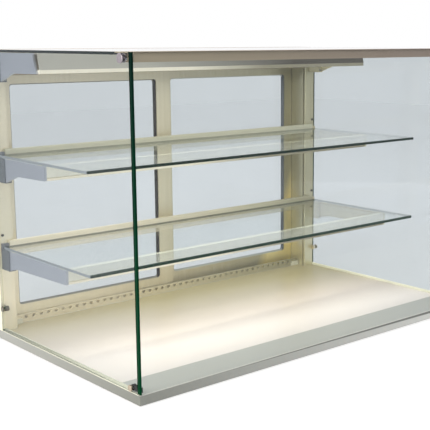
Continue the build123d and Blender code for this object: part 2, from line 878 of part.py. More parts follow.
# ---------------------------------------------------------------- shelves
rail_rear_y = post_front_y - rail_rear_gap
rail_front_y = rail_rear_y - rail_thickness
shelf_rear_y = rail_front_y + rail_bite
shelf_half = inner_x - shelf_side_gap
for name, shelf_height in (("lower", lower_shelf_height), ("upper", upper_shelf_height)):
    glass_bottom = base_top + shelf_height
    with BuildPart() as rear_rail:
        with BuildSketch(Plane.YZ.offset(-holder_inner_x)) as section:
            area(
                (rail_front_y, rail_rear_y),
                (glass_bottom - rail_drop, glass_bottom + glass_thickness + rail_rise),
            )
            fillet(section.vertices(), rail_edge_radius)
            groove_z = (
                glass_bottom - rail_glass_clearance,
                glass_bottom + glass_thickness + rail_glass_clearance,
            )
            area((rail_front_y, shelf_rear_y + rail_glass_clearance), groove_z, mode=Mode.SUBTRACT)
        extrude(amount=2 * holder_inner_x)
    export(rear_rail, f"{name}_rear_rail")
    with BuildPart() as shelf_glass:
        with BuildSketch(Plane.XY.offset(glass_bottom)) as pane:
            shelf_front_y = front_y + shelf_front_setback
            area((-shelf_half, shelf_half), (shelf_front_y, shelf_rear_y))
            fillet(pane.vertices(), glass_corner_radius)
        extrude(amount=glass_thickness)
    export(shelf_glass, f"{name}_shelf_glass")

with BuildPart() as glass_pads:
    for arm in arm_levels.values():
        arm_front_y = front_y + arm["setback"] + arm["nose_slant"]
        for side in sides.values():
            for pad_y in (arm_front_y + pad_length, holder_front_y - pad_length):
                block(
                    (side * arm_inner_x, side * arm_outer_x),
                    (pad_y - pad_length / 2, pad_y + pad_length / 2),
                    (arm["top"], arm["top"] + pad_thickness),
                )
    narrow = post_inner_x - panel_clearance
    for x in (-narrow / 2, narrow / 2):
        block(
            (x - pad_length, x + pad_length),
            (post_front_y, top_glass_rear_y),
            (top_glass_bottom - pad_thickness, top_glass_bottom),
        )
export(glass_pads, "glass_pads")

# ---------------------------------------------------------------- front glass and its pivot
front_glass_bottom = base_top + pane_lift
with BuildPart() as front_glass:
    with BuildSketch(Plane.XZ.offset(-front_y)) as pane:
        area((-half_width, half_width), (front_glass_bottom, case_top))
        fillet(pane.vertices(), base_corner_radius)
    extrude(amount=-glass_thickness)
export(front_glass, "front_glass")

front_rail_half = half_width - front_rail_end_gap
with BuildPart() as front_rail:
    with BuildSketch(Plane.YZ.offset(-front_rail_half)) as section:
        area((glass_rear_y, glass_rear_y + front_rail_wall), (case_top - front_rail_height, case_top))
        area((glass_rear_y, glass_rear_y + front_rail_depth), (case_top - front_rail_top, case_top))
        with Locations((pivot_y, pivot_z)):
            Circle(front_rail_boss_radius)
        web = front_rail_wall / 2
        area((glass_rear_y, pivot_y), (pivot_z - web, pivot_z + web))
        area((pivot_y - web, pivot_y + web), (pivot_z, case_top))
    extrude(amount=2 * front_rail_half)
    for side in sides.values():
        with Locations(Location((side * front_rail_half, pivot_y, pivot_z), (0, side * 90, 0))):
            Hole(bush_radius + bush_clearance, depth=bush_length)
export(front_rail, "front_rail")

with BuildPart() as rail_bushes:
    for side in sides.values():
        with BuildSketch(Plane.YZ.offset(side * front_rail_half)):
            with Locations((pivot_y, pivot_z)):
                Circle(bush_radius)
                Circle(pin_radius + pin_clearance, mode=Mode.SUBTRACT)
        extrude(amount=-side * bush_length)
export(rail_bushes, "rail_bushes")


def rod(x_span, centre_y, centre_z, radius, mode=Mode.ADD):
    """Add a round bar along X, given by its two ends."""
    with Locations((sum(x_span) / 2, centre_y, centre_z)):
        Cylinder(radius, abs(x_span[1] - x_span[0]), rotation=(0, 90, 0), mode=mode)


def turned(profile, x_start, side, centre_y, centre_z):
    """Add steps of (radius, length) one after another, from x_start towards the middle."""
    x = x_start
    for radius, length in profile:
        rod((side * x, side * (x - length)), centre_y, centre_z, radius)
        x -= length


with BuildPart() as hinge_discs:
    for side in sides.values():
        steps = (
            (disc_radius, disc_thickness),
            (barrel_radius, glass_thickness + nut_thickness),
            (pin_radius, pin_length),
        )
        turned(steps, half_width + disc_thickness, side, pivot_y, pivot_z)
    rims = hinge_discs.edges().filter_by(GeomType.CIRCLE).sort_by(Axis.X)
    fillet([rims[0], rims[-1]], disc_edge_radius)
export(hinge_discs, "hinge_discs")

with BuildPart() as hinge_nuts:
    for side in sides.values():
        with BuildSketch(Plane.YZ.offset(side * inner_x)):
            with Locations((pivot_y, pivot_z)):
                RegularPolygon(nut_radius, nut_sides)
                Circle(barrel_radius + nut_clearance, mode=Mode.SUBTRACT)
        extrude(amount=-side * nut_thickness)
export(hinge_nuts, "hinge_nuts")

with BuildPart() as stop_studs:
    for side in sides.values():
        steps = (
            (stop_disc_radius, disc_thickness),
            (stop_shaft_radius, glass_thickness + buffer_thickness / 2),
        )
        turned(steps, half_width + disc_thickness, side, stop_y, stop_z)
    rims = stop_studs.edges().filter_by(GeomType.CIRCLE).sort_by(Axis.X)
    fillet([rims[0], rims[-1]], disc_edge_radius)
export(stop_studs, "stop_studs")

with BuildPart() as stop_buffers:
    for side in sides.values():
        with BuildSketch(Plane.YZ.offset(side * inner_x)):
            with Locations((stop_y, stop_z)):
                Circle(stop_disc_radius)
            nose_half = stop_disc_radius * buffer_nose_share
            area((glass_rear_y + buffer_gap, stop_y), (stop_z - nose_half, stop_z + nose_half))
        extrude(amount=-side * buffer_thickness)
        with Locations(Location((side * inner_x, stop_y, stop_z), (0, side * 90, 0))):
            Hole(stop_shaft_radius + nut_clearance, depth=buffer_thickness / 2)
export(stop_buffers, "stop_buffers")

with BuildPart() as glass_clamps:
    for side in sides.values():
        steps = (
            (clamp_radius, disc_thickness),
            (clamp_shaft_radius, glass_thickness),
            (clamp_radius, clamp_boss_length),
        )
        turned(steps, half_width + disc_thickness, side, clamp_y, clamp_z)
        block(
            (side * inner_x, side * (inner_x - clamp_boss_length)),
            (clamp_y, post_front_y),
            (clamp_z - clamp_tongue_height / 2, clamp_z + clamp_tongue_height / 2),
        )
export(glass_clamps, "glass_clamps")

# ---------------------------------------------------------------- electrics
driver_x = -post_inner_x + driver_inset
with BuildPart() as led_driver:
    block(
        (driver_x, driver_x + driver_length),
        (chamber_front, chamber_front + driver_depth),
        (beam_bottom + beam_wall, beam_bottom + beam_wall + driver_height),
    )
    fillet(led_driver.edges().filter_by(Axis.X), beam_wall / 2)
export(led_driver, "led_driver")

bezel_x = (switch_x - bezel_width / 2, switch_x + bezel_width / 2)
bezel_z = (switch_z - bezel_height / 2, switch_z + bezel_height / 2)
shell = switch_wall + panel_clearance / 2
with BuildPart() as switch_body:
    block(bezel_x, (rear_y, rear_y + bezel_thickness), bezel_z)
    fillet(switch_body.edges().filter_by(Axis.Y), bezel_thickness / 2)
    block(
        (bezel_x[0] + shell, bezel_x[1] - shell),
        (rear_y - switch_body_depth, rear_y),
        (bezel_z[0] + shell, bezel_z[1] - shell),
    )
    well_half = rocker_width / 2 + rocker_clearance
    well_radius = rocker_radius + rocker_clearance
    block(
        (switch_x - well_half, switch_x + well_half),
        (rear_y - switch_body_depth + switch_wall, rear_y + bezel_thickness),
        (switch_z - well_radius, switch_z + well_radius),
        mode=Mode.SUBTRACT,
    )
export(switch_body, "switch_body")

with BuildPart() as switch_rocker:
    rocker_plane = Plane(
        origin=(switch_x - rocker_width / 2, rear_y, switch_z), x_dir=(0, 1, 0), z_dir=(1, 0, 0)
    )
    with BuildSketch(rocker_plane):
        with BuildLine():
            CenterArc((0, 0), rocker_radius, 90, 180)
            Polyline(
                (0, rocker_radius),
                (rocker_crown, rocker_radius / 2),
                (bezel_thickness, 0),
                (rocker_crown, -rocker_radius / 2),
                (0, -rocker_radius),
            )
        make_face()
    extrude(amount=rocker_width)
switch_rocker.part = switch_rocker.part.rotate(
    Axis((switch_x, rear_y, switch_z), (1, 0, 0)), -rocker_tilt
)
export(switch_rocker, "switch_rocker")

gland_x = half_width - post_width / 2
gland_z = base_top + gland_height
with BuildPart() as cable_gland:
    with BuildSketch(Plane.XZ.offset(-(rear_y - 2 * post_wall))):
        with Locations((gland_x, gland_z)):
            Circle(gland_thread_radius - nut_clearance)
    extrude(amount=-2 * post_wall)
    with BuildSketch(Plane.XZ.offset(-rear_y)):
        with Locations((gland_x, gland_z)):
            RegularPolygon(gland_nut_radius, gland_nut_sides)
    extrude(amount=-gland_nut_length)
    with BuildSketch(Plane.XZ.offset(-(rear_y + gland_nut_length))):
        with Locations((gland_x, gland_z)):
            Circle(gland_dome_radius)
    extrude(amount=-gland_dome_length)
    fillet(cable_gland.faces().sort_by(Axis.Y)[-1].edges(), gland_dome_radius / 3)
    with Locations(Location((gland_x, rear_y, gland_z), (90, 0, 0))):
        Hole(gland_bore_radius)
export(cable_gland, "cable_gland")
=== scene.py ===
import math

import bmesh
import bpy
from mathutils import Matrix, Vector


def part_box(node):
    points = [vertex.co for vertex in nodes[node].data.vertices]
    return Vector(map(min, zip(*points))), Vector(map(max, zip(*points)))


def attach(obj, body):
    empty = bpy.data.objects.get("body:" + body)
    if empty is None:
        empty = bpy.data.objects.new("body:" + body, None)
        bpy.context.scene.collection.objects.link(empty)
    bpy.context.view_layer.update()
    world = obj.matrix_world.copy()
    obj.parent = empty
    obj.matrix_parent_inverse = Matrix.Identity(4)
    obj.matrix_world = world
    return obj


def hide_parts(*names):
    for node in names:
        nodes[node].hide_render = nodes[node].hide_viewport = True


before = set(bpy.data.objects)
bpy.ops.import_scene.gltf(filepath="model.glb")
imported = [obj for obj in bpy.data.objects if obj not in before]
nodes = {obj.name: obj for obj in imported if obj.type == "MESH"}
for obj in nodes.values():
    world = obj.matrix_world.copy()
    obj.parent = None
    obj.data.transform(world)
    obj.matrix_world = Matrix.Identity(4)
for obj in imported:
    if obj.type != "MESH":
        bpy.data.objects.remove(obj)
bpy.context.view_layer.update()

# A countertop display case of clear panes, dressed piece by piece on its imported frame.
# Lengths are in metres, and those named _MM in millimetres. The case's front faces -Y, +Z is up.

scene = bpy.context.scene
scene.view_settings.view_transform = "Standard"
# Panes stand behind panes, and a sight line crosses both faces of each.
scene.cycles.transparent_max_bounces = 32

MM = 0.001
ACROSS = (1.0, 0.0, 0.0)
BACK = (0.0, 1.0, 0.0)
UP = (0.0, 0.0, 1.0)
DOWN = (0.0, 0.0, -1.0)
WELD = 0.001 * MM              # points this near each other are one


def hex_colour(code):
    """Linear RGBA from an sRGB hex code."""
    parts = [int(code[i:i + 2], 16) / 255 for i in (1, 3, 5)]
    linear = [p / 12.92 if p <= 0.04045 else ((p + 0.055) / 1.055) ** 2.4 for p in parts]
    return (*linear, 1.0)


def add(tree, kind, inputs=None, **settings):
    """Add one node: settings are its options, inputs its sockets' values or links.

    A socket goes by its name, or by its number where several share a name.
    """
    made = tree.nodes.new(kind)
    for name, value in settings.items():
        setattr(made, name, value)
    for key, value in (inputs or {}).items():
        if isinstance(value, bpy.types.NodeSocket):
            tree.links.new(value, made.inputs[key])
        else:
            made.inputs[key].default_value = value
    return made


def new_material(name):
    """An empty material and its node tree."""
    made = bpy.data.materials.new(name)
    made.use_nodes = True
    made.node_tree.nodes.clear()
    return made, made.node_tree


# A Mix node numbers the sockets of its colours so, and a Random Value node those of its numbers.
MIX_A = 6
MIX_B = 7
MIX_RESULT = 2
RANDOM_LOW = 2
RANDOM_HIGH = 3
RANDOM_RESULT = 1

# ---------------------------------------------------------------- camera
LENS_MM = 80.04
SENSOR_MM = 36.0
PITCH_DOWN = math.radians(10.4)
VIEW_ACROSS = Vector((0.6717, 0.7408, 0.0)).normalized()
CAMERA_PLACE = Vector((-1.573, -1.892, 0.735))
SHIFT_ACROSS = -0.1395

camera_data = bpy.data.cameras.new("camera")
camera_data.lens = LENS_MM
camera_data.sensor_width = SENSOR_MM
camera_data.shift_x = SHIFT_ACROSS
camera = bpy.data.objects.new("camera", camera_data)
scene.collection.objects.link(camera)
sight = VIEW_ACROSS * math.cos(PITCH_DOWN) - Vector((0, 0, math.sin(PITCH_DOWN)))
camera.location = CAMERA_PLACE
camera.rotation_euler = sight.to_track_quat("-Z", "Y").to_euler()
scene.camera = camera

# ---------------------------------------------------------------- studio
SKY_LEVEL = 0.85               # light that the white surroundings give the case
FLOOR_GLOW = 0.50              # what the floor adds for eyes, mirrors and glass
FLOOR_SIZE = 14.0
WHITE = (1.0, 1.0, 1.0, 1.0)


def seen_directly(tree):
    """1 for camera, mirror and glass rays, 0 for the rays that light the case."""
    path = add(tree, "ShaderNodeLightPath")
    either = add(
        tree, "ShaderNodeMath",
        {0: path.outputs["Is Camera Ray"], 1: path.outputs["Is Glossy Ray"]}, operation="MAXIMUM",
    )
    return add(
        tree, "ShaderNodeMath",
        {0: either.outputs[0], 1: path.outputs["Is Transmission Ray"]}, operation="MAXIMUM",
    ).outputs[0]


world = bpy.data.worlds.new("white_studio")
scene.world = world
world.use_nodes = True
tree = world.node_tree
tree.nodes.clear()
level = add(
    tree, "ShaderNodeMapRange",
    {"Value": seen_directly(tree), "To Min": SKY_LEVEL, "To Max": 1.0},
)
sky = add(tree, "ShaderNodeBackground", {"Color": WHITE, "Strength": level.outputs[0]})
add(tree, "ShaderNodeOutputWorld", {"Surface": sky.outputs[0]})

# Matt white paper, uncoated: no shine at all. It stays white round the case and keeps the case's
# soft shadow.
paper, tree = new_material("paper_matt_white")
glow = add(tree, "ShaderNodeMath", {0: seen_directly(tree), 1: FLOOR_GLOW}, operation="MULTIPLY")
sheet = add(tree, "ShaderNodeBsdfDiffuse", {"Color": hex_colour("#C4C4C4")})
light = add(tree, "ShaderNodeEmission", {"Color": WHITE, "Strength": glow.outputs[0]})
both = add(tree, "ShaderNodeAddShader", {0: sheet.outputs[0], 1: light.outputs[0]})
add(tree, "ShaderNodeOutputMaterial", {"Surface": both.outputs[0]})

half = FLOOR_SIZE / 2
floor_mesh = bpy.data.meshes.new("floor")
floor_mesh.from_pydata(
    [(-half, -half, 0), (half, -half, 0), (half, half, 0), (-half, half, 0)], [], [(0, 1, 2, 3)]
)
floor_mesh.materials.append(paper)
floor = bpy.data.objects.new("floor", floor_mesh)
scene.collection.objects.link(floor)


def soft_lamp(name, place, aim, size, watts, tone="#FFFFFF"):
    """A rectangular lamp of size (across, along) at place, facing aim, unseen by the camera."""
    data = bpy.data.lights.new(name, "AREA")
    data.shape = "RECTANGLE"
    data.size, data.size_y = size
    data.energy = watts
    data.color = hex_colour(tone)[:3]
    made = bpy.data.objects.new(name, data)
    scene.collection.objects.link(made)
    made.location = place
    made.rotation_euler = (Vector(aim) - Vector(place)).to_track_quat("-Z", "Y").to_euler()
    made.visible_camera = False
    return made


CASE_MIDDLE = (0.0, 0.0, 0.35)
SOFTBOX = (2.4, 2.4)
WARM_LAMP = "#FFF8EC"
soft_lamp("key", (-2.2, -2.6, 3.0), CASE_MIDDLE, SOFTBOX, watts=48)
soft_lamp("back", (0.5, 3.0, 2.4), CASE_MIDDLE, SOFTBOX, watts=20)
# A lamp near the left side: its light falls off towards the right.
soft_lamp("side", (-1.7, -0.5, 0.9), CASE_MIDDLE, (0.9, 0.9), watts=15, tone=WARM_LAMP)
fill = soft_lamp("fill", (2.2, -2.0, 0.5), CASE_MIDDLE, (1.2, 1.0), watts=12)
fill.visible_glossy = False    # its square would show in the front pane

# The case's own warm LED strips shine straight down, one under each lens. They are drawn wider
# than the lenses, and mirrors don't see them, so that no streak shows on the deck.
LED_WATTS = {
    "lamp_bar_diffuser": 3.4, "upper_light_bar_diffuser": 0.65, "lower_light_bar_diffuser": 0.65,
}
LED_TONE = "#FFF3E4"
LED_SPREAD = math.radians(170)
LED_WIDTH = 150 * MM
LENS_GAP = 0.5 * MM
for strip, watts in LED_WATTS.items():
    low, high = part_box(strip)
    place = Vector(((low.x + high.x) / 2, (low.y + high.y) / 2, low.z - LENS_GAP))
    size = (high.x - low.x, LED_WIDTH)
    made = soft_lamp(f"light_{strip}", place, place + Vector(DOWN), size, watts, LED_TONE)
    made.rotation_euler = (0.0, 0.0, 0.0)    # unturned, so that its length lies along X
    made.data.spread = LED_SPREAD
    made.visible_glossy = False

# ---------------------------------------------------------------- finishes
NOISE_DETAIL = 2.0
NOISE_LOW = 0.3                # a noise's values stay mostly between these two
NOISE_HIGH = 0.7
AT_ONCE = 0.1 * MM             # a tone that changes over so short a way has a sharp edge


def along(tree, place, direction, start, end):
    """0 to 1 as the place runs from start to end (metres) along a direction."""
    reach = add(tree, "ShaderNodeVectorMath", {0: place, 1: direction}, operation="DOT_PRODUCT")
    return add(
        tree, "ShaderNodeMapRange",
        {"Value": reach.outputs["Value"], "From Min": start, "From Max": end},
    ).outputs[0]


def solid_finish(
    name, light, dark, lump_mm, rough, metallic=0.0, specular=0.5, relief_mm=None, relief=0.1,
    relief_depth_mm=0.05, drifts=(),
):
    """An opaque finish: its colour and gloss wander over lumps, and finer ones give it relief.

    Lump sizes are in millimetres along X, Y and Z, and rough is the lowest and the highest
    roughness. Each drift is (direction, start, end, light, dark): from start to end, in metres
    along the direction, the colours turn into its own pair.
    """
    made, tree = new_material(name)
    place = add(tree, "ShaderNodeTexCoord").outputs["Object"]
    broad = add(
        tree, "ShaderNodeMapping", {"Vector": place, "Scale": [1 / (s * MM) for s in lump_mm]}
    )
    lumps = add(
        tree, "ShaderNodeTexNoise",
        {"Vector": broad.outputs[0], "Scale": 1.0, "Detail": NOISE_DETAIL},
    ).outputs[0]
    tone = add(
        tree, "ShaderNodeMix",
        {"Factor": lumps, MIX_A: hex_colour(dark), MIX_B: hex_colour(light)},
        data_type="RGBA",
    )
    for direction, start, end, far_light, far_dark in drifts:
        far = add(
            tree, "ShaderNodeMix",
            {"Factor": lumps, MIX_A: hex_colour(far_dark), MIX_B: hex_colour(far_light)},
            data_type="RGBA",
        )
        share = along(tree, place, direction, start, end)
        tone = add(
            tree, "ShaderNodeMix",
            {
                "Factor": share, MIX_A: tone.outputs[MIX_RESULT],
                MIX_B: far.outputs[MIX_RESULT],
            },
            data_type="RGBA",
        )
    gloss = add(
        tree, "ShaderNodeMapRange",
        {
            "Value": lumps, "From Min": NOISE_LOW, "From Max": NOISE_HIGH,
            "To Min": rough[0], "To Max": rough[1],
        },
    )
    fine = add(
        tree, "ShaderNodeMapping",
        {"Vector": place, "Scale": [1 / (s * MM) for s in relief_mm or lump_mm]},
    )
    ripples = add(
        tree, "ShaderNodeTexNoise",
        {"Vector": fine.outputs[0], "Scale": 1.0, "Detail": NOISE_DETAIL},
    )
    bumps = add(
        tree, "ShaderNodeBump",
        {"Height": ripples.outputs[0], "Strength": relief, "Distance": relief_depth_mm * MM},
    )
    surface = add(
        tree, "ShaderNodeBsdfPrincipled",
        {
            "Base Color": tone.outputs[MIX_RESULT], "Roughness": gloss.outputs[0],
            "Metallic": metallic, "Specular IOR Level": specular, "Normal": bumps.outputs[0],
        },
    )
    add(tree, "ShaderNodeOutputMaterial", {"Surface": surface.outputs[0]})
    return made


# Die lines and the grit's scratches are hairlines, drawn 4 mm wide in the colour and 1.2 mm wide
# in the relief so that they show.
RUN_MM = 600.0
LINE_MM = 4.0
HAIR_MM = 1.2
ALONG_X = (RUN_MM, LINE_MM, LINE_MM)
ALONG_Y = (LINE_MM, RUN_MM, LINE_MM)
ALONG_Z = (2 * LINE_MM, 2 * LINE_MM, RUN_MM)
HAIR_X = (RUN_MM, HAIR_MM, HAIR_MM)
HAIR_Y = (HAIR_MM, RUN_MM, HAIR_MM)
HAIR_Z = (HAIR_MM, HAIR_MM, RUN_MM)
# The grain of moulded, plated and printed parts is finer than these two, which are as fine as
# shows.
MOULD_GRAIN = (1.5, 1.5, 1.5)
RUBBER_GRAIN = (2.0, 2.0, 2.0)
# Orange peel and hammer paint are as coarse as this, and paint and plastic flow in wider marks.
SOFT_GRAIN = (3.0, 3.0, 3.0)
FLOW_MARKS = (6.0, 6.0, 6.0)

# Champagne anodised aluminium, extruded and satin etched: warm, with wide soft highlights and
# faint lines along each profile. It is painted a deeper, greyer gold from left to right: painted
# shade, as the light falls from the left.
GOLD_PAINTED_SHADE = (ACROSS, -0.25, 0.45, "#C1BDA1", "#A8A285")
# The rail behind the upper shelf has one pale, grey gold all along.
UPPER_RAIL = (UP, 0.30, 0.40, "#CFCDB6", "#C1BFA8")
champagne_across = solid_finish(
    "aluminium_anodised_champagne_across", "#FFF6DE", "#F3E7CB", ALONG_X, (0.30, 0.42), 0.7,
    relief_mm=HAIR_X, drifts=[GOLD_PAINTED_SHADE, UPPER_RAIL],
)
# The uprights, of the same aluminium with its lines up them: painted paler at the foot on the
# left,
# a warmer gold low on the inner side of the right door, and a warm grey at the right post's foot:
# all three are painted light, of the lit deck and the LED strips.
INNER_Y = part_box("right_door_frame")[0].y
INWARD = 6.0                   # so steep that the gold ends soon behind the inner side
LEFT_FOOT_PAINTED_LIGHT = ((-1.0, 0.0, -1.0), 0.10, 0.45, "#FFFBE6", "#FFF5D8")
RIGHT_FOOT_PAINTED_LIGHT = (
    (2.0, -INWARD, -1.0), 0.66 - INWARD * INNER_Y, 0.74 - INWARD * INNER_Y, "#FFF0B0", "#F6E4A0",
)
POST_FOOT_PAINTED_LIGHT = (DOWN, -0.30, -0.08, "#EDE7C8", "#D3CCA8")
champagne_left, champagne_right, champagne_post = [
    solid_finish(
        f"aluminium_anodised_champagne_{place}", "#FBF2DC", "#E4D9BC", ALONG_Z, (0.28, 0.42), 0.7,
        relief_mm=HAIR_Z, drifts=[GOLD_PAINTED_SHADE, foot],
    )
    for place, foot in (("left", LEFT_FOOT_PAINTED_LIGHT), ("right_door", RIGHT_FOOT_PAINTED_LIGHT), ("right_post", POST_FOOT_PAINTED_LIGHT))
]
# Bronze anodised aluminium, extruded and matt etched: brown-grey and nearly without highlights. It
# is painted a little redder and darker to the right: painted shade, as the light falls from the
# left.
bronze_rail = solid_finish(
    "aluminium_anodised_bronze", "#B7A891", "#A89A82", ALONG_X, (0.5, 0.6), 0.2, 0.1,
    relief_mm=HAIR_X, drifts=[(ACROSS, -0.4, 0.3, "#AE9B8D", "#A08E80")],
)
# Grey anodised aluminium, extruded and satin etched: a weak sheen, pale over the left half and
# painted dark brown-grey over the right, as painted shade.
grey_bar = solid_finish(
    "aluminium_anodised_grey", "#D3CEC0", "#C6C1B3", ALONG_X, (0.36, 0.46), 0.5, 0.3,
    relief_mm=HAIR_X, drifts=[(ACROSS, -0.25, 0.25, "#6A6358", "#5E574C")],
)
# Cream lacquer sprayed on the shelves' lamp bars: smooth, pale and evenly glossy.
cream_lacquer = solid_finish(
    "lacquer_cream", "#FBF8EA", "#F3F0E0", FLOW_MARKS, (0.30, 0.38),
)
# Stainless sheet with ground faces: cool grey with a broad sheen and the grit's lines along each
# arm. On the right it is painted warm: a painted reflection of the lit case.
ground_stainless = solid_finish(
    "stainless_sheet_ground", "#CDD0D9", "#BFC2CB", ALONG_Y, (0.36, 0.48), 0.9, relief_mm=HAIR_Y,
    drifts=[(ACROSS, 0.1, 0.4, "#DED6B6", "#D0C8A8")],
)
# Zinc die castings in grey hammer paint: dark and half glossy, with the paint's 3 mm dimples; the
# dark is partly painted shade, of the left holders' shadow. On the right they are painted paler
# and
# warmer: painted light of the lit case.
cast_grey = solid_finish(
    "zinc_die_cast_grey_paint", "#6C7278", "#5E646A", SOFT_GRAIN, (0.42, 0.52),
    relief=0.3, relief_depth_mm=0.1, drifts=[(ACROSS, 0.1, 0.4, "#BDB79A", "#B1AB8E")],
)
# Powder coat on folded steel: a satin grey with slight orange peel. It is painted darkest at the
# front left corner and paler towards the right and the back, and pale on top: painted light, where
# more light falls.
BASE_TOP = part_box("base_frame")[1].z
PAINTED_LIGHT_TO_RIGHT_BACK = ((1.0, 0.8, 0.0), -0.82, 0.27, "#D5D6D2", "#CDCECA")
# Under the front's top fold a dark line is painted shade. It gets deeper by 7.5 mm for each metre
# to the right, and it thins out along the sides, by 30 mm for each metre to the back.
FOLD_PAINTED_SHADE = (
    (0.0075, -0.03, 1.0), BASE_TOP + 6.7 * MM, BASE_TOP + 7.1 * MM, "#6E706C", "#666864",
)
# The top's pale tone is painted light from above.
PAINTED_LIGHT_TOP = (UP, BASE_TOP - 0.3 * MM, BASE_TOP - 0.1 * MM, "#C0C1BB", "#B8B9B3")
powder_coat_grey = solid_finish(
    "steel_powder_coat_grey", "#80827C", "#787A74", (9.0, 9.0, 9.0), (0.38, 0.48),
    relief_mm=SOFT_GRAIN, relief=0.12, drifts=[PAINTED_LIGHT_TO_RIGHT_BACK, FOLD_PAINTED_SHADE, PAINTED_LIGHT_TOP],
)
# Moulded grey nylon of the rail's bushes: a pale, warm grey with little shine.
grey_nylon = solid_finish(
    "nylon_moulded_grey", "#BDB7AC", "#AFA99E", MOULD_GRAIN, (0.45, 0.58), relief=0.2,
)
# Moulded black nylon: deep black, and slightly broken up by the mould's spark-eroded grain.
black_nylon = solid_finish(
    "nylon_moulded_black", "#2B2C2F", "#212225", MOULD_GRAIN, (0.45, 0.58), relief=0.2,
)
# Moulded rubber of the feet and the buffers: blacker than the nylon, dull, and almost without
# highlights.
black_rubber = solid_finish(
    "rubber_moulded_black", "#1D1D1E", "#141415", RUBBER_GRAIN, (0.65, 0.8), 0.0, 0.3,
)
# Extruded glazing rubber: a dull strip round three sides of each door's pane, grey on the left
# door and pale on the right one, and a wide, darker seal of another rubber on the fourth.
WIDE_SEAL = 9.0 * MM
SEAL_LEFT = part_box("left_door_gasket")[1].x - WIDE_SEAL
SEAL_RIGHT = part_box("right_door_gasket")[1].x - WIDE_SEAL
left_gasket = solid_finish(
    "rubber_extruded_grey_and_black", "#99978C", "#8B897F", RUBBER_GRAIN, (0.55, 0.7), 0.0, 0.3,
    drifts=[(ACROSS, SEAL_LEFT, SEAL_LEFT + AT_ONCE, "#3C3B3A", "#2E2D2C")],
)
right_gasket = solid_finish(
    "rubber_extruded_pale_and_grey", "#C9CBC2", "#BDBFB6", RUBBER_GRAIN, (0.55, 0.7), 0.0, 0.3,
    drifts=[(ACROSS, SEAL_RIGHT, SEAL_RIGHT + AT_ONCE, "#6C7379", "#5F666D")],
)
# Extruded polycarbonate of the beads and seals: pale and yellowish, with a bright shine along
# its length.
pale_profile = solid_finish(
    "polycarbonate_extruded_pale", "#FBFAE6", "#F3F2DA", ALONG_Y, (0.2, 0.3),
)
# Moulded polycarbonate of the doors' stops and the glass pads: a little darker, with a softer
# shine and no lines.
pale_block = solid_finish(
    "polycarbonate_moulded_pale", "#E4E1CC", "#DAD7C0", FLOW_MARKS, (0.3, 0.4),
)
# Moulded white nylon of the doors' glides: milky, with a waxy half gloss.
white_nylon = solid_finish(
    "nylon_moulded_white", "#EDEBE0", "#E3E1D5", SOFT_GRAIN, (0.35, 0.45),
)
# White solder mask printed on the LED boards: an even, slightly glossy white.
solder_mask = solid_finish(
    "solder_mask_white", "#EEEEEA", "#E4E4DF", RUBBER_GRAIN, (0.3, 0.4),
)
# Particle board, sawn and left raw: brown chips pressed flat, drawn at their real size of a few
# millimetres, and no shine.
particle_board = solid_finish(
    "particle_board_raw", "#B79A6E", "#8E7249", (4.0, 4.0, 1.5), (0.75, 0.85), relief=0.4,
)
# Zinc-plated steel of the screws: a mid grey metal with a soft shine.
screw_steel = solid_finish(
    "steel_zinc_plated", "#A9A9A8", "#979796", MOULD_GRAIN, (0.3, 0.4), 1.0,
)
# Blackened steel of the small screws in the posts: near black, with a dull metal shine.
black_oxide = solid_finish(
    "steel_black_oxide", "#4A4842", "#3A3833", MOULD_GRAIN, (0.35, 0.45), 0.8,
)
# Baked enamel on sheet steel: white with a soft gloss, and hardly any ripple. It is painted
# darker, to cream, towards the doors, in two steps, and a little sooner on the right: painted
# shade over the deck's rear.
DECK_SHADE_WAY = (0.105, 1.0, 0.0)
FIRST_PAINTED_SHADE = (DECK_SHADE_WAY, -0.150, 0.001, "#D5CABF", "#D1C6BB")
CREAM_PAINTED_SHADE = (DECK_SHADE_WAY, 0.001, 0.234, "#B4A881", "#B0A47D")
enamel = solid_finish(
    "steel_enamelled_white", "#FBF2EC", "#F7EEE8", (5.0, 5.0, 5.0), (0.28, 0.38), 0.0, 0.4,
    relief_depth_mm=0.02, drifts=[FIRST_PAINTED_SHADE, CREAM_PAINTED_SHADE],
)

RING_MM = 0.9                  # the tool's feed is finer, and wouldn't show
RING_DEPTH_MM = 0.04
CLAMP_RADIUS = 6.5 * MM
CENTRE_GAP = 0.1               # nothing turned stands nearer to the case's middle


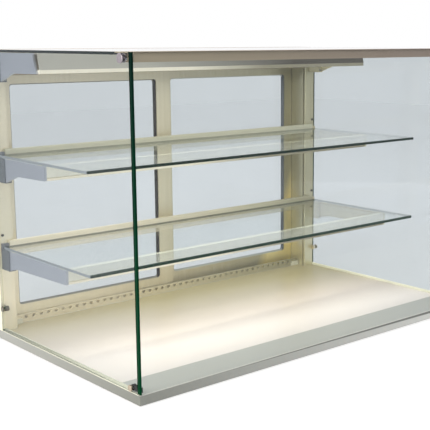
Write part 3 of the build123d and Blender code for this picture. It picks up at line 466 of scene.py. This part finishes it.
def turned_steel(name, centre, tones=("#ADA4AA", "#958C92"), right=None):
    """Turned stainless: shiny, with rings round an axis along X through centre (y, z).

    tones are the paler and the darker shade of the rings, and right is the pair of them on the
    case's right, where it isn't the same.
    """
    made, tree = new_material(name)
    place = add(tree, "ShaderNodeTexCoord").outputs["Object"]
    off_axis = add(
        tree, "ShaderNodeMapping",
        {"Vector": place, "Location": (0.0, -centre[0], -centre[1]), "Scale": (0.0, 1.0, 1.0)},
    )
    reach = add(tree, "ShaderNodeVectorMath", {0: off_axis.outputs[0]}, operation="LENGTH")
    turns = add(
        tree, "ShaderNodeMath",
        {0: reach.outputs["Value"], 1: 2 * math.pi / (RING_MM * MM)}, operation="MULTIPLY",
    )
    rings = add(tree, "ShaderNodeMath", {0: turns.outputs[0]}, operation="SINE")
    bumps = add(
        tree, "ShaderNodeBump",
        {"Height": rings.outputs[0], "Strength": 0.15, "Distance": RING_DEPTH_MM * MM},
    )
    gloss = add(
        tree, "ShaderNodeMapRange",
        {"Value": rings.outputs[0], "From Min": -1.0, "To Min": 0.24, "To Max": 0.34},
    )
    tone = add(
        tree, "ShaderNodeMix",
        {"Factor": gloss.outputs[0], MIX_A: hex_colour(tones[0]), MIX_B: hex_colour(tones[1])},
        data_type="RGBA",
    )
    if right is not None:
        other = add(
            tree, "ShaderNodeMix",
            {"Factor": gloss.outputs[0], MIX_A: hex_colour(right[0]), MIX_B: hex_colour(right[1])},
            data_type="RGBA",
        )
        share = along(tree, place, ACROSS, -CENTRE_GAP, CENTRE_GAP)
        tone = add(
            tree, "ShaderNodeMix",
            {
                "Factor": share, MIX_A: tone.outputs[MIX_RESULT],
                MIX_B: other.outputs[MIX_RESULT],
            },
            data_type="RGBA",
        )
    surface = add(
        tree, "ShaderNodeBsdfPrincipled",
        {
            "Base Color": tone.outputs[MIX_RESULT], "Roughness": gloss.outputs[0], "Metallic": 1.0,
            "Normal": bumps.outputs[0],
        },
    )
    add(tree, "ShaderNodeOutputMaterial", {"Surface": surface.outputs[0]})
    return made


def axis_of(node):
    """The middle of a node's box across Y and Z."""
    low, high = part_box(node)
    return ((low.y + high.y) / 2, (low.z + high.z) / 2)


# Stainless turned on a lathe and left as it came off the tool: a bright metal with fine rings.
# The hinge's discs and nuts are slightly violet, the stops warmer, and the clamps, which sit deep
# in the case, are painted dark on the left, as painted shade, and cream on the right, as a painted
# reflection of the lit case.
turned_disc = turned_steel("stainless_turned_disc", axis_of("hinge_discs"))
turned_stop = turned_steel(
    "stainless_turned_stop", axis_of("stop_studs"), ("#BEAF9E", "#A59584")
)
# The clamps' dark left is painted shade, and their cream right a painted reflection.
clamp_axis = (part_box("glass_clamps")[0].y + CLAMP_RADIUS, axis_of("glass_clamps")[1])
turned_clamp = turned_steel(
    "stainless_turned_clamp", clamp_axis, ("#8A857A", "#726D63"), right=("#E6DBC2", "#D4C9B0")
)

# Opal acrylic, extruded, over warm LEDs: a line of light with a silky surface, a little brighter
# over each chip, and dim over the right half, where its glow fades and the acrylic is painted a
# darker cream as painted shade.
LED_PITCH_MM = 16.0
LED_GLOW = 0.2
WAVE_TURN = 20.0               # a wave node's bands run through this many radians in a unit
opal, tree = new_material("acrylic_opal_lit")
place = add(tree, "ShaderNodeTexCoord").outputs["Object"]
wave = add(
    tree, "ShaderNodeTexWave",
    {"Vector": place, "Scale": 2 * math.pi / (WAVE_TURN * LED_PITCH_MM * MM)},
    wave_type="BANDS", bands_direction="X",
)
tone = add(
    tree, "ShaderNodeMix",
    {"Factor": wave.outputs["Fac"], MIX_A: hex_colour("#F7E3A8"), MIX_B: hex_colour("#FDF0C6")},
    data_type="RGBA",
)
# Over the right half the glow fades and the acrylic is painted darker: painted shade.
painted_shade_share = along(tree, place, ACROSS, -0.12, 0.14)
acrylic = add(
    tree, "ShaderNodeMix",
    {"Factor": painted_shade_share, MIX_A: hex_colour("#F6EFDF"), MIX_B: hex_colour("#A69E84")},
    data_type="RGBA",
)
power = add(tree, "ShaderNodeMapRange", {"Value": painted_shade_share, "To Min": LED_GLOW, "To Max": 0.0})
surface = add(
    tree, "ShaderNodeBsdfPrincipled",
    {
        "Base Color": acrylic.outputs[MIX_RESULT], "Roughness": 0.35,
        "Emission Color": tone.outputs[MIX_RESULT], "Emission Strength": power.outputs[0],
    },
)
add(tree, "ShaderNodeOutputMaterial", {"Surface": surface.outputs[0]})

GLASS_IOR = 1.5
SMEAR_MM = 90.0                # a hand's wipe leaves smears this wide
PANE_HEIGHT = 0.7              # the green of the edges deepens up to here
FACE_ON = 0.9                  # a normal this near an axis belongs to a flat face across that axis
END_SHOWS = 5.0 * MM           # light bends into a pane, so its cut end shows in front this far
BRINK_SHOWS = 6.0 * MM         # and a shelf's front edge shows in its top this far


def facing(tree, normal, direction):
    """1 where the surface faces along direction, and 0 elsewhere."""
    turn = add(tree, "ShaderNodeVectorMath", {0: normal, 1: direction}, operation="DOT_PRODUCT")
    return add(
        tree, "ShaderNodeMath", {0: turn.outputs["Value"], 1: FACE_ON}, operation="GREATER_THAN"
    ).outputs[0]


def either_way(tree, normal, axis):
    """1 on the flat faces across an axis letter, and 0 elsewhere."""
    spread = add(tree, "ShaderNodeVectorMath", {0: normal}, operation="ABSOLUTE")
    return facing(tree, spread.outputs[0], [float(letter == axis) for letter in "XYZ"])


def float_glass(
    name, axis, mirror, tint=("#F2F4F5", "#F4F6F7"), ground=None, ends=None, brink=None,
    seated=(DOWN,),
):
    """Clear float glass: it mirrors more at a slant, and its long edges look deep green.

    axis is the letter of the one that its faces lie across, mirror the tone of its reflections,
    tint the two tones that it is clear in, ground the letter of the one across which its edges
    are left matt and grey, ends half the pane's width, where its cut ends show through its face,
    brink the Y of a front edge that shows so, and seated the directions of the edges that a seal
    or a groove covers.
    """
    made, tree = new_material(name)
    facts = add(tree, "ShaderNodeNewGeometry")
    # A pane is crossed unbent, so its far face has to mirror as its near face does.
    index = add(
        tree, "ShaderNodeMapRange",
        {"Value": facts.outputs["Backfacing"], "To Min": GLASS_IOR, "To Max": 1 / GLASS_IOR},
    )
    share = add(tree, "ShaderNodeFresnel", {"IOR": index.outputs[0]})
    coordinates = add(tree, "ShaderNodeTexCoord")
    place = coordinates.outputs["Object"]
    normal = coordinates.outputs["Normal"]
    smears = add(
        tree, "ShaderNodeTexNoise",
        {"Vector": place, "Scale": 1 / (SMEAR_MM * MM), "Detail": NOISE_DETAIL},
    )
    clear = add(
        tree, "ShaderNodeMix",
        {"Factor": smears.outputs[0], MIX_A: hex_colour(tint[0]), MIX_B: hex_colour(tint[1])},
        data_type="RGBA",
    )
    through = add(tree, "ShaderNodeBsdfTransparent", {"Color": clear.outputs[MIX_RESULT]})
    gloss = add(
        tree, "ShaderNodeBsdfAnisotropic", {"Color": hex_colour(mirror), "Roughness": 0.015}
    )
    pane = add(
        tree, "ShaderNodeMixShader",
        {0: share.outputs[0], 1: through.outputs[0], 2: gloss.outputs[0]},
    ).outputs[0]
    height = along(tree, place, UP, 0.0, PANE_HEIGHT)
    green = add(
        tree, "ShaderNodeMix",
        {"Factor": height, MIX_A: hex_colour("#003A20"), MIX_B: hex_colour("#001A14")},
        data_type="RGBA",
    )
    edge = add(
        tree, "ShaderNodeBsdfPrincipled",
        {"Base Color": green.outputs[MIX_RESULT], "Roughness": 0.3, "Specular IOR Level": 0.03},
    ).outputs[0]
    if ends is not None:
        split = add(tree, "ShaderNodeSeparateXYZ", {"Vector": place})
        reach = add(tree, "ShaderNodeMath", {0: split.outputs["X"]}, operation="ABSOLUTE")
        at_end = add(
            tree, "ShaderNodeMath", {0: reach.outputs[0], 1: ends - END_SHOWS},
            operation="GREATER_THAN",
        )
        pane = add(
            tree, "ShaderNodeMixShader", {0: at_end.outputs[0], 1: pane, 2: edge}
        ).outputs[0]
    if brink is not None:
        split = add(tree, "ShaderNodeSeparateXYZ", {"Vector": place})
        at_brink = add(
            tree, "ShaderNodeMath", {0: split.outputs["Y"], 1: brink + BRINK_SHOWS},
            operation="LESS_THAN",
        )
        pane = add(
            tree, "ShaderNodeMixShader", {0: at_brink.outputs[0], 1: pane, 2: edge}
        ).outputs[0]
    if ground is not None:
        matt = add(
            tree, "ShaderNodeBsdfPrincipled",
            {"Base Color": hex_colour("#9FA5AA"), "Roughness": 0.6, "Specular IOR Level": 0.3},
        )
        on_ground = either_way(tree, normal, ground)
        edge = add(
            tree, "ShaderNodeMixShader", {0: on_ground, 1: edge, 2: matt.outputs[0]}
        ).outputs[0]
    # A seated edge shows the seal that it touches, also from inside the pane.
    side = add(
        tree, "ShaderNodeMapRange",
        {"Value": facts.outputs["Backfacing"], "To Min": 1.0, "To Max": -1.0},
    )
    outward = add(
        tree, "ShaderNodeVectorMath", {0: normal, "Scale": side.outputs[0]}, operation="SCALE"
    ).outputs[0]
    for direction in seated:
        share = facing(tree, outward, direction)
        edge = add(
            tree, "ShaderNodeMixShader", {0: share, 1: edge, 2: through.outputs[0]}
        ).outputs[0]
    on_face = either_way(tree, normal, axis)
    whole = add(tree, "ShaderNodeMixShader", {0: on_face, 1: edge, 2: pane})
    add(tree, "ShaderNodeOutputMaterial", {"Surface": whole.outputs[0]})
    return made


# Float glass with polished edges: clear with a faint grey, sharp reflections that grow at a
# slant, and edges in deep green. The standing panes' reflections are toned down to grey, and
# those of the lying ones are full.
GREY_MIRROR = "#B4B6BA"
WHITE_MIRROR = "#FFFFFF"
SHELF_TINT = ("#FBFDFC", "#FCFEFE")
# The left side pane's rear edge stands in the post's groove, too.
left_side_glass = float_glass("float_glass_left_side", "X", GREY_MIRROR, seated=(DOWN, BACK))
right_side_glass = float_glass("float_glass_right_side", "X", GREY_MIRROR)
# The front pane's cut ends show at both corners of the case.
front_glass = float_glass("float_glass_front", "Y", GREY_MIRROR, ends=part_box("front_glass")[1].x)
door_glass = float_glass("float_glass_door", "Y", GREY_MIRROR)
top_glass = float_glass("float_glass_top", "Z", WHITE_MIRROR)
# The shelves are of clearer glass, with ground edges at both ends, and rest on their faces.
upper_shelf_glass, lower_shelf_glass = [
    float_glass(
        f"float_glass_{shelf}", "Z", WHITE_MIRROR, SHELF_TINT, ground="X",
        brink=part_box(f"{shelf}_glass")[0].y, seated=(),
    )
    for shelf in ("upper_shelf", "lower_shelf")
]

# ---------------------------------------------------------------- pieces that repeat


def size_tree(name, sizes):
    """A Geometry Nodes tree that takes points, sizes in metres, a turn, a seed and a finish."""
    tree = bpy.data.node_groups.new(name, "GeometryNodeTree")
    face = tree.interface
    face.new_socket("Points", in_out="INPUT", socket_type="NodeSocketGeometry")
    for size in sizes:
        face.new_socket(size, in_out="INPUT", socket_type="NodeSocketFloat")
    face.new_socket("Turn", in_out="INPUT", socket_type="NodeSocketRotation")
    face.new_socket("Seed", in_out="INPUT", socket_type="NodeSocketInt")
    face.new_socket("Finish", in_out="INPUT", socket_type="NodeSocketMaterial")
    face.new_socket("Mesh", in_out="OUTPUT", socket_type="NodeSocketGeometry")
    return tree, add(tree, "NodeGroupInput").outputs


def settle(tree, entry, shape, spun=False):
    """Put the shape on every point, turned and finished, and spun about its own axis if asked.

    The seed gives each shape its own angle of spin.
    """
    placed = add(
        tree, "GeometryNodeInstanceOnPoints",
        {"Points": entry["Points"], "Instance": shape, "Rotation": entry["Turn"]},
    ).outputs[0]
    if spun:
        chance = add(
            tree, "FunctionNodeRandomValue",
            {RANDOM_LOW: 0.0, RANDOM_HIGH: 2 * math.pi, "Seed": entry["Seed"]},
            data_type="FLOAT",
        )
        spin = add(tree, "ShaderNodeCombineXYZ", {"Z": chance.outputs[RANDOM_RESULT]})
        placed = add(
            tree, "GeometryNodeRotateInstances", {"Instances": placed, "Rotation": spin.outputs[0]}
        ).outputs[0]
    solid = add(tree, "GeometryNodeRealizeInstances", {"Geometry": placed})
    dressed = add(
        tree, "GeometryNodeSetMaterial",
        {"Geometry": solid.outputs[0], "Material": entry["Finish"]},
    )
    add(tree, "NodeGroupOutput", {"Mesh": dressed.outputs[0]})


# A screw's head: a chamfered disc with a six-sided socket, standing on its point along Z. Of the
# disc's three rings of corners, the top one is drawn in and the middle one lifted to below it.
ROUND_SIDES = 32
SOCKET_SIDES = 6
cap_screw, entry = size_tree(
    "cap_screw", ("Head Radius", "Head Height", "Chamfer", "Socket Radius", "Socket Depth")
)
disc = add(
    cap_screw, "GeometryNodeMeshCylinder",
    {
        "Vertices": ROUND_SIDES, "Side Segments": 2, "Radius": entry["Head Radius"],
        "Depth": entry["Head Height"],
    },
)
spot = add(cap_screw, "GeometryNodeInputPosition").outputs[0]
split = add(cap_screw, "ShaderNodeSeparateXYZ", {"Vector": spot})
half_height = add(
    cap_screw, "ShaderNodeMath", {0: entry["Head Height"], 1: 0.5}, operation="MULTIPLY"
).outputs[0]
quarter = add(
    cap_screw, "ShaderNodeMath", {0: entry["Head Height"], 1: 0.25}, operation="MULTIPLY"
).outputs[0]
on_top = add(
    cap_screw, "ShaderNodeMath", {0: split.outputs["Z"], 1: quarter}, operation="GREATER_THAN"
)
reach = add(cap_screw, "ShaderNodeMath", {0: split.outputs["Z"]}, operation="ABSOLUTE")
on_belt = add(
    cap_screw, "ShaderNodeMath", {0: reach.outputs[0], 1: quarter}, operation="LESS_THAN"
)
narrowed = add(
    cap_screw, "ShaderNodeMath", {0: entry["Head Radius"], 1: entry["Chamfer"]},
    operation="SUBTRACT",
)
narrowing = add(
    cap_screw, "ShaderNodeMath", {0: narrowed.outputs[0], 1: entry["Head Radius"]},
    operation="DIVIDE",
)
shrink = add(
    cap_screw, "ShaderNodeCombineXYZ",
    {"X": narrowing.outputs[0], "Y": narrowing.outputs[0], "Z": 1.0},
)
drawn_in = add(
    cap_screw, "ShaderNodeVectorMath", {0: spot, 1: shrink.outputs[0]}, operation="MULTIPLY"
)
belt_lift = add(
    cap_screw, "ShaderNodeMath", {0: half_height, 1: entry["Chamfer"]}, operation="SUBTRACT"
)
lift = add(cap_screw, "ShaderNodeCombineXYZ", {"Z": belt_lift.outputs[0]})
topped = add(
    cap_screw, "GeometryNodeSetPosition",
    {"Geometry": disc.outputs[0], "Selection": on_top.outputs[0], "Position": drawn_in.outputs[0]},
)
chamfered = add(
    cap_screw, "GeometryNodeSetPosition",
    {"Geometry": topped.outputs[0], "Selection": on_belt.outputs[0], "Offset": lift.outputs[0]},
)
# The bit that cuts the socket is twice as long as the socket is deep, with its middle on the top.
bit_length = add(
    cap_screw, "ShaderNodeMath", {0: entry["Socket Depth"], 1: 2.0}, operation="MULTIPLY"
)
bit = add(
    cap_screw, "GeometryNodeMeshCylinder",
    {
        "Vertices": SOCKET_SIDES, "Radius": entry["Socket Radius"],
        "Depth": bit_length.outputs[0],
    },
)
rise = add(cap_screw, "ShaderNodeCombineXYZ", {"Z": half_height})
bit_up = add(
    cap_screw, "GeometryNodeTransform",
    {"Geometry": bit.outputs[0], "Translation": rise.outputs[0]},
)
head = add(
    cap_screw, "GeometryNodeMeshBoolean", {0: chamfered.outputs[0], 1: bit_up.outputs[0]},
    operation="DIFFERENCE",
)
stood = add(
    cap_screw, "GeometryNodeTransform",
    {"Geometry": head.outputs[0], "Translation": rise.outputs[0]},
)
settle(cap_screw, entry, stood.outputs[0], spun=True)

SEED = 7


def grow(name, tree, points, sizes, turn, finish, body, replaced=()):
    """Make the tree's shapes on the points as one plain mesh that rides a body."""
    seeds = bpy.data.meshes.new(f"{name}_points")
    seeds.from_pydata(points, [], [])
    stand = bpy.data.objects.new(f"{name}_points", seeds)
    scene.collection.objects.link(stand)
    modifier = stand.modifiers.new("shapes", "NODES")
    modifier.node_group = tree
    values = {**sizes, "Turn": turn, "Seed": SEED, "Finish": finish}
    for item in tree.interface.items_tree:
        if item.in_out == "INPUT" and item.name in values:
            modifier[item.identifier] = values[item.name]
    ready = stand.evaluated_get(bpy.context.evaluated_depsgraph_get())
    mesh = bpy.data.meshes.new_from_object(ready)
    bpy.data.objects.remove(stand)
    shape = bmesh.new()
    shape.from_mesh(mesh)
    bmesh.ops.remove_doubles(shape, verts=shape.verts, dist=WELD)
    bmesh.ops.recalc_face_normals(shape, faces=shape.faces)
    shape.to_mesh(mesh)
    shape.free()
    piece = bpy.data.objects.new(name, mesh)
    scene.collection.objects.link(piece)
    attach(piece, body)
    if replaced:
        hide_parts(*replaced)


def solids_of(node):
    """The low and high corners of each separate solid of a node, in metres."""
    source = nodes[node]
    shape = bmesh.new()
    shape.from_mesh(source.data)
    bmesh.ops.transform(shape, matrix=source.matrix_world, verts=shape.verts)
    bmesh.ops.remove_doubles(shape, verts=shape.verts, dist=WELD)
    waiting = set(shape.verts)
    corners = []
    while waiting:
        group, border = [], [waiting.pop()]
        while border:
            vertex = border.pop()
            group.append(vertex.co.copy())
            for edge in vertex.link_edges:
                other = edge.other_vert(vertex)
                if other in waiting:
                    waiting.remove(other)
                    border.append(other)
        corners.append([
            Vector([pick(spot[axis] for spot in group) for axis in range(3)])
            for pick in (min, max)
        ])
    shape.free()
    return sorted(corners, key=lambda pair: tuple(pair[0]))


# A moulded grip rib: a round bar along Z, half sunk, with its ends drawn in.
RIB_SIDES = 10
TIP_SHARE = 0.45               # only the end rings lie further from the middle, in rib lengths
grip_rib, entry = size_tree("grip_rib", ("Rib Radius", "Rib Length", "End Share"))
bar = add(
    grip_rib, "GeometryNodeMeshCylinder",
    {
        "Vertices": RIB_SIDES, "Side Segments": 5, "Radius": entry["Rib Radius"],
        "Depth": entry["Rib Length"],
    },
)
spot = add(grip_rib, "GeometryNodeInputPosition").outputs[0]
split = add(grip_rib, "ShaderNodeSeparateXYZ", {"Vector": spot})
reach = add(grip_rib, "ShaderNodeMath", {0: split.outputs["Z"]}, operation="ABSOLUTE")
tip_start = add(
    grip_rib, "ShaderNodeMath", {0: entry["Rib Length"], 1: TIP_SHARE}, operation="MULTIPLY"
)
at_tip = add(
    grip_rib, "ShaderNodeMath", {0: reach.outputs[0], 1: tip_start.outputs[0]},
    operation="GREATER_THAN",
)
draw = add(
    grip_rib, "ShaderNodeCombineXYZ",
    {"X": entry["End Share"], "Y": entry["End Share"], "Z": 1.0},
)
drawn = add(
    grip_rib, "ShaderNodeVectorMath", {0: spot, 1: draw.outputs[0]}, operation="MULTIPLY"
)
tipped = add(
    grip_rib, "GeometryNodeSetPosition",
    {"Geometry": bar.outputs[0], "Selection": at_tip.outputs[0], "Position": drawn.outputs[0]},
)
settle(grip_rib, entry, tipped.outputs[0])

# The screws' heads face the customer: bright ones in the holders, blackened ones in the posts.
TO_FRONT = (math.radians(90), 0.0, 0.0)
HOLDER_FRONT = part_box("arm_holders")[0].y
holder_spots, post_spots = [], []
for low, high in solids_of("holder_screws"):
    spots = holder_spots if low.y < HOLDER_FRONT else post_spots
    spots.append(((low.x + high.x) / 2, low.y, (low.z + high.z) / 2))
HOLDER_HEAD = {
    "Head Radius": 2.95 * MM, "Head Height": 2.4 * MM, "Chamfer": 0.4 * MM,
    "Socket Radius": 1.5 * MM, "Socket Depth": 1.4 * MM,
}
POST_HEAD = {
    "Head Radius": 3.45 * MM, "Head Height": 2.1 * MM, "Chamfer": 0.6 * MM,
    "Socket Radius": 1.6 * MM, "Socket Depth": 1.2 * MM,
}
on_holders = [(x, y + HOLDER_HEAD["Head Height"], z) for x, y, z in holder_spots]
on_posts = [(x, y + POST_HEAD["Head Height"], z) for x, y, z in post_spots]
grow(
    "holder_screw_heads", cap_screw, on_holders, HOLDER_HEAD, TO_FRONT, screw_steel,
    "cabinet", ["holder_screws"],
)
grow(
    "post_screw_heads", cap_screw, on_posts, POST_HEAD, TO_FRONT, black_oxide, "cabinet"
)

# The gland's dome nut is ribbed for the fingers.
GLAND_RIBS = 16
DOME_RADIUS = 9.5 * MM
DOME_LENGTH = 12.0 * MM
DOME_LIP = 1.0 * MM            # the ribs keep this much further off the nut's outer end
gland_low, gland_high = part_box("cable_gland")
gland_axis = ((gland_low.x + gland_high.x) / 2, (gland_low.z + gland_high.z) / 2)
rib_middle = gland_high.y - DOME_LENGTH / 2 - DOME_LIP
around = [2 * math.pi * count / GLAND_RIBS for count in range(GLAND_RIBS)]
ring = [
    (
        gland_axis[0] + DOME_RADIUS * math.cos(turn), rib_middle,
        gland_axis[1] + DOME_RADIUS * math.sin(turn),
    )
    for turn in around
]
GLAND_RIB = {"Rib Radius": 0.8 * MM, "Rib Length": 8.0 * MM, "End Share": 0.4}
grow("gland_ribs", grip_rib, ring, GLAND_RIB, TO_FRONT, black_nylon, "cabinet")

# ---------------------------------------------------------------- what wears which finish
FINISHES = {
    powder_coat_grey: ["base_frame", "base_pan"],
    enamel: ["deck_plate"],
    champagne_across: ["lower_track", "upper_rear_rail", "lower_rear_rail"],
    champagne_left: ["left_post", "left_door_frame"],
    champagne_right: ["right_door_frame"],
    champagne_post: ["right_post"],
    bronze_rail: ["front_rail", "top_beam", "post_caps"],
    grey_bar: ["lamp_bar"],
    cream_lacquer: ["upper_light_bar", "lower_light_bar"],
    ground_stainless: [f"{level}_arm_{side}" for level in ("lower", "upper", "top")
                       for side in ("left", "right")],
    cast_grey: ["arm_holders"],
    turned_disc: ["hinge_discs", "hinge_nuts"],
    turned_stop: ["stop_studs"],
    turned_clamp: ["glass_clamps"],
    screw_steel: ["pan_screws", "holder_screws"],
    grey_nylon: ["rail_bushes"],
    black_nylon: ["left_door_pull", "right_door_pull", "led_driver", "switch_body",
                  "switch_rocker", "cable_gland"],
    black_rubber: ["feet", "stop_buffers"],
    left_gasket: ["left_door_gasket"],
    right_gasket: ["right_door_gasket"],
    pale_profile: ["glazing_beads", "glass_seals"],
    pale_block: ["door_stops", "glass_pads"],
    white_nylon: ["left_door_glides", "right_door_glides"],
    solder_mask: ["led_boards"],
    particle_board: ["deck_core"],
    opal: ["lamp_bar_diffuser", "upper_light_bar_diffuser", "lower_light_bar_diffuser"],
    left_side_glass: ["left_side_glass"],
    right_side_glass: ["right_side_glass"],
    front_glass: ["front_glass"],
    door_glass: ["left_door_glass", "right_door_glass"],
    top_glass: ["top_glass"],
    upper_shelf_glass: ["upper_shelf_glass"],
    lower_shelf_glass: ["lower_shelf_glass"],
}
for finish, names in FINISHES.items():
    for name in names:
        for slot in nodes[name].material_slots:
            slot.material = finish
